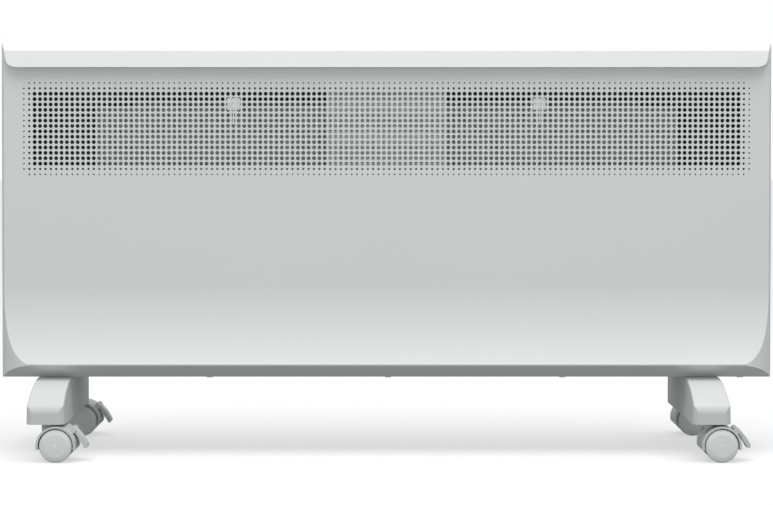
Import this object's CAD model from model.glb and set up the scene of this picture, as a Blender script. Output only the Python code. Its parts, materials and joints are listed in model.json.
# Electric heater with a white casing, long in X, standing on the floor at Z = 0.
# Its rear casing is on the +Y side and the camera looks at it from -Y.
# The pieces come from the CAD; this script gives them materials, a floor, lights and a camera.
import json
import math

import bpy
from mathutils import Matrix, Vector

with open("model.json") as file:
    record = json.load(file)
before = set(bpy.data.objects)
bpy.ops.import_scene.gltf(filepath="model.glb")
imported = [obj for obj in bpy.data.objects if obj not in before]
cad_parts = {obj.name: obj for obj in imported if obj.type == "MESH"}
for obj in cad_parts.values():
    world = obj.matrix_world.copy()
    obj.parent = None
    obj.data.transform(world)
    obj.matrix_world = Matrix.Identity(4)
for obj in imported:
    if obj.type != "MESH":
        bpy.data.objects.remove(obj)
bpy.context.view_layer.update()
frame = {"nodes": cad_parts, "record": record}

scene = bpy.context.scene

# Bare region of the rear casing, in its object coordinates
BARE_HALF_LENGTH = 0.4305  # bare where |X| is below this
BARE_MAX_Y = 0.0494
BARE_MIN_Z = 0.0864

FLOOR_SIZE = 30
FLOOR_DROP = 0.0005  # the floor lies just below Z = 0


# ------------------------------------------------------------------ node helpers
class Nodes:
    """Empties a node tree and builds a new one in it."""

    def __init__(self, owner, output_kind):
        owner.use_nodes = True
        self.tree = owner.node_tree
        self.tree.nodes.clear()
        self.output = self.add(output_kind)

    def add(self, kind, inputs=None, **settings):
        node = self.tree.nodes.new(kind)
        for key, value in settings.items():
            setattr(node, key, value)
        self.feed(node, inputs or {})
        return node

    def feed(self, node, inputs):
        """Link each input that is given a socket; set the others to the value."""
        for key, value in inputs.items():
            if isinstance(value, bpy.types.NodeSocket):
                self.tree.links.new(value, node.inputs[key])
            else:
                node.inputs[key].default_value = value


class Shader(Nodes):
    """A material with a Principled surface, textured in object coordinates."""

    def __init__(self, name):
        self.name = name
        self.material = bpy.data.materials.new(name)
        super().__init__(self.material, "ShaderNodeOutputMaterial")
        self.principled = self.add("ShaderNodeBsdfPrincipled")
        self.feed(self.output, {"Surface": self.principled.outputs["BSDF"]})
        self.position = self.add("ShaderNodeTexCoord").outputs["Object"]

    def set(self, inputs):
        self.feed(self.principled, inputs)

    def noise(self, scale, detail, roughness, stretch=(1, 1, 1)):
        mapping = self.add("ShaderNodeMapping", {"Vector": self.position, "Scale": stretch})
        return self.add("ShaderNodeTexNoise", {
            "Vector": mapping.outputs["Vector"],
            "Scale": scale,
            "Detail": detail,
            "Roughness": roughness,
        }).outputs["Fac"]

    def ramp(self, factor, low, high):
        """Blend two colours; low and high are each (position, colour)."""
        node = self.add("ShaderNodeValToRGB", {"Fac": factor})
        for element, (position, color) in zip(node.color_ramp.elements, (low, high)):
            element.position = position
            element.color = (*color, 1)
        return node.outputs["Color"]

    def span(self, factor, low, high):
        return self.add("ShaderNodeMapRange", {
            "Value": factor,
            "To Min": low,
            "To Max": high,
        }).outputs["Result"]

    def bump(self, height, strength, distance):
        return self.add("ShaderNodeBump", {
            "Height": height,
            "Strength": strength,
            "Distance": distance,
        }).outputs["Normal"]

    def math(self, operation, *values):
        inputs = dict(enumerate(values))
        return self.add("ShaderNodeMath", inputs, operation=operation).outputs[0]


def tint(color, factor):
    return tuple(max(0.0, min(1.0, channel * factor)) for channel in color)


# ------------------------------------------------------------------ kinds of material
def surface(name, color, roughness=0.4, roughness_spread=0.06, variation=0.03, patch_scale=6.0,
            grain_scale=900.0, grain=0.15, grain_depth=0.00004, clearcoat=0.0, dust=0.0):
    """Paint or plastic: soft colour patches, fine grain and, with dust, darker crevices."""
    shader = Shader(name)
    patches = shader.noise(patch_scale, detail=4.0, roughness=0.55)
    base = shader.ramp(
        patches,
        low=(0.30, tint(color, 1 - variation)),
        high=(0.70, tint(color, 1 + variation * 0.6)),
    )
    if dust:
        occlusion = shader.add("ShaderNodeAmbientOcclusion", {"Distance": 0.012}, samples=4)
        darken = shader.add("ShaderNodeMix", data_type="RGBA", blend_type="MULTIPLY")
        shade = shader.ramp(
            occlusion.outputs["AO"],
            low=(0.0, (0.62, 0.62, 0.60)),
            high=(0.75, (1, 1, 1)),
        )
        # Inputs of a colour mix: 0 is the factor, 6 and 7 the colours; output 2 is the result
        shader.feed(darken, {0: dust, 6: base, 7: shade})
        base = darken.outputs[2]
    fine = shader.noise(grain_scale, detail=2.0, roughness=0.6)
    low, high = roughness - roughness_spread, roughness + roughness_spread
    shader.set({
        "Base Color": base,
        "Roughness": shader.span(fine, low, high),
        "Normal": shader.bump(fine, strength=grain, distance=grain_depth),
        "IOR": 1.45,
    })
    if clearcoat:
        shader.set({"Coat Weight": clearcoat, "Coat Roughness": 0.12})
    return shader


def spangle(name, color, metallic):
    """Galvanised sheet: patches of crystal, rolled faintly along X."""
    shader = Shader(name)
    crystals = shader.add("ShaderNodeTexVoronoi", {"Scale": 120.0, "Vector": shader.position})
    base = shader.ramp(
        crystals.outputs["Color"],
        low=(0.2, tint(color, 0.86)),
        high=(0.8, tint(color, 1.08)),
    )
    rolling = shader.noise(300.0, detail=3.0, roughness=0.6, stretch=(0.15, 1, 1))
    shader.set({
        "Base Color": base,
        "Roughness": shader.span(rolling, 0.4, 0.6),
        "Normal": shader.bump(rolling, strength=0.12, distance=0.00004),
        "Metallic": metallic,
    })
    return shader


def brushed(name, color, roughness):
    """Bare metal with fine streaks along X."""
    shader = Shader(name)
    streaks = shader.noise(240.0, detail=3.0, roughness=0.7, stretch=(0.05, 1, 1))
    shader.set({
        "Base Color": shader.ramp(
            streaks,
            low=(0.3, tint(color, 0.85)),
            high=(0.7, tint(color, 1.05)),
        ),
        "Roughness": shader.span(streaks, roughness - 0.08, roughness + 0.12),
        "Normal": shader.bump(streaks, strength=0.15, distance=0.00003),
        "Metallic": 1.0,
    })
    return shader


def painted_outside(name, color, inside, **finish):
    """Painted sheet whose inner faces are left bare and dull."""
    shader = surface(name, color, **finish)
    paint = shader.principled.inputs["Base Color"].links[0].from_socket
    axes = shader.add("ShaderNodeSeparateXYZ", {0: shader.position}).outputs

    between_ends = shader.math("LESS_THAN", shader.math("ABSOLUTE", axes["X"]), BARE_HALF_LENGTH)
    before_back = shader.math("LESS_THAN", axes["Y"], BARE_MAX_Y)
    above_bottom = shader.math("GREATER_THAN", axes["Z"], BARE_MIN_Z)
    is_bare = shader.math(
        "MULTIPLY",
        shader.math("MULTIPLY", between_ends, before_back),
        above_bottom,
    )

    mottle = shader.add("ShaderNodeTexNoise", {"Scale": 40.0, "Vector": shader.position})
    bare = shader.ramp(
        mottle.outputs["Fac"],
        low=(0.0, tint(inside, 0.8)),
        high=(1.0, tint(inside, 1.2)),
    )
    inputs = {0: is_bare, 6: paint, 7: bare}
    mix = shader.add("ShaderNodeMix", inputs, data_type="RGBA")
    shader.set({"Base Color": mix.outputs[2]})
    return shader


def amber_lens(name):
    """Glossy, partly clear amber plastic."""
    shader = Shader(name)
    cloud = shader.noise(500.0, detail=2.0, roughness=0.5)
    shader.set({
        "Base Color": shader.ramp(
            cloud,
            low=(0.3, (0.85, 0.28, 0.03)),
            high=(0.7, (0.95, 0.38, 0.06)),
        ),
        "Roughness": shader.span(cloud, 0.12, 0.2),
        "Transmission Weight": 0.6,
    })
    return shader


# ------------------------------------------------------------------ materials
WHITE = (0.728, 0.742, 0.737)
POWDER_COAT = dict(roughness=0.42, roughness_spread=0.04, variation=0.012, patch_scale=3.0,
                   grain_scale=1400.0, grain=0.10, grain_depth=0.00003)

shaders = [
    surface("white_powder_coat", WHITE, **POWDER_COAT),
    surface("white_cap", (0.738, 0.748, 0.744), roughness=0.33, roughness_spread=0.03,
            variation=0.010, patch_scale=4.0, grain_scale=1800.0, grain=0.06,
            grain_depth=0.00002),
    spangle("zinc_sheet", (0.60, 0.62, 0.62), metallic=0.35),
    surface("deflector_plastic", (0.90, 0.91, 0.91), variation=0.02, patch_scale=30.0,
            grain_scale=1200.0, grain_depth=0.00003),
    painted_outside("rear_sheet", WHITE, inside=(0.16, 0.165, 0.17), **POWDER_COAT),
    spangle("bright_zinc", (0.86, 0.88, 0.88), metallic=0.75),
    brushed("element_aluminium", (0.70, 0.71, 0.72), roughness=0.35),
    brushed("steel_pin", (0.56, 0.57, 0.58), roughness=0.28),
    brushed("screw_steel", (0.66, 0.66, 0.65), roughness=0.3),
    surface("white_plastic", (0.61, 0.63, 0.63), roughness=0.45, variation=0.015,
            patch_scale=14.0, grain_scale=1500.0, grain=0.18, dust=0.35),
    surface("wheel_plastic", (0.75, 0.77, 0.77), roughness=0.38, variation=0.02,
            patch_scale=30.0, grain_scale=1600.0, dust=0.45),
    surface("dark_plastic", (0.035, 0.036, 0.038), roughness=0.5, variation=0.08,
            patch_scale=20.0, grain_scale=1200.0, grain=0.3),
    surface("grey_plastic", (0.30, 0.31, 0.32), roughness=0.48, patch_scale=18.0,
            grain_scale=1300.0, grain=0.3),
    surface("fan_plastic", (0.78, 0.79, 0.79), roughness=0.5, variation=0.02,
            patch_scale=20.0, grain=0.2),
    surface("ceramic_block", (0.78, 0.75, 0.68), roughness=0.3, patch_scale=30.0,
            grain_scale=700.0, grain=0.2, clearcoat=0.3),
    surface("cord_sheath", (0.74, 0.75, 0.75), variation=0.02, patch_scale=12.0, grain=0.2),
    surface("lead_insulation", (0.10, 0.045, 0.03), roughness=0.5, variation=0.05,
            patch_scale=20.0, grain_scale=800.0, grain=0.2),
    brushed("brass_pins", (0.72, 0.55, 0.28), roughness=0.25),
    amber_lens("lens_amber"),
]
materials = {shader.name: shader.material for shader in shaders}

# Pieces that don't take the material of their CAD slot
OWN_MATERIAL = {"rear_casing": "rear_sheet", "air_deflector": "deflector_plastic"}

slot_of = {part["node"]: part["material_slot"] for part in frame["record"]["subparts"]}
for name, piece in frame["nodes"].items():
    piece.data.materials.clear()
    piece.data.materials.append(materials[OWN_MATERIAL.get(name) or slot_of[name]])


# ------------------------------------------------------------------ stage
def floor_material():
    """Near white to the camera, mid grey to every other ray."""
    material = bpy.data.materials.new("stage_floor")
    nodes = Nodes(material, "ShaderNodeOutputMaterial")
    by_ray = nodes.add("ShaderNodeMixShader")
    ray = nodes.add("ShaderNodeLightPath")
    seen = nodes.add("ShaderNodeBsdfDiffuse", {"Color": (0.965, 0.965, 0.965, 1)})
    unseen = nodes.add("ShaderNodeBsdfDiffuse", {"Color": (0.265, 0.285, 0.28, 1)})
    glow = nodes.add("ShaderNodeEmission", {"Color": (1, 1, 1, 1), "Strength": 1.0})
    pale = nodes.add("ShaderNodeMixShader", {
        "Fac": 0.55,
        1: seen.outputs["BSDF"],
        2: glow.outputs["Emission"],
    })
    nodes.feed(by_ray, {
        "Fac": ray.outputs["Is Camera Ray"],
        1: unseen.outputs["BSDF"],
        2: pale.outputs["Shader"],
    })
    nodes.feed(nodes.output, {"Surface": by_ray.outputs["Shader"]})
    return material


def studio_world():
    """Pure white to the camera, a dimmer and slightly cool light on the heater."""
    world = bpy.data.worlds.new("studio")
    nodes = Nodes(world, "ShaderNodeOutputWorld")
    seen = nodes.add("ShaderNodeBackground", {"Color": (1, 1, 1, 1), "Strength": 1.0})
    lit = nodes.add("ShaderNodeBackground", {"Color": (0.985, 1.0, 0.998, 1), "Strength": 0.66})
    by_ray = nodes.add("ShaderNodeMixShader")
    ray = nodes.add("ShaderNodeLightPath")
    nodes.feed(by_ray, {
        "Fac": ray.outputs["Is Camera Ray"],
        1: lit.outputs["Background"],
        2: seen.outputs["Background"],
    })
    nodes.feed(nodes.output, {"Surface": by_ray.outputs["Shader"]})
    return world


def softbox(name, location, target, width, height, power):
    """Rectangular area light aimed at a target point."""
    data = bpy.data.lights.new(name, "AREA")
    data.shape = "RECTANGLE"
    data.size = width
    data.size_y = height
    data.energy = power
    light = bpy.data.objects.new(name, data)
    scene.collection.objects.link(light)
    light.location = location
    aim = Vector(target) - Vector(location)
    light.rotation_euler = aim.to_track_quat("-Z", "Y").to_euler()


def add_camera():
    """Almost level camera in front of the heater, looking towards +Y."""
    data = bpy.data.cameras.new("camera")
    data.sensor_fit = "HORIZONTAL"
    data.sensor_width = 36.0
    data.lens = 94.354463
    # Shifts are fractions of the frame width
    data.shift_x = 0.016170763
    data.shift_y = -0.10168176
    camera = bpy.data.objects.new("camera", data)
    scene.collection.objects.link(camera)
    camera.location = (-0.014, -2.313, 0.352)
    camera.rotation_euler = (math.radians(89), 0, 0)
    scene.camera = camera


stage_material = floor_material()
bpy.ops.mesh.primitive_plane_add(size=FLOOR_SIZE, location=(0, 0, -FLOOR_DROP))
floor = bpy.context.object
floor.name = "stage_floor"
floor.data.materials.append(stage_material)

scene.world = studio_world()
softbox("top_softbox", location=(0.1, -0.75, 2.6), target=(0, 0, 0.2),
        width=3.0, height=1.6, power=51)
softbox("front_fill", location=(0.0, -3.2, 0.12), target=(0, 0, 0.28),
        width=3.4, height=0.5, power=15)
add_camera()
scene.view_settings.view_transform = "Standard"
scene.view_settings.look = "None"

# ------------------------------------------------------------------ sizes
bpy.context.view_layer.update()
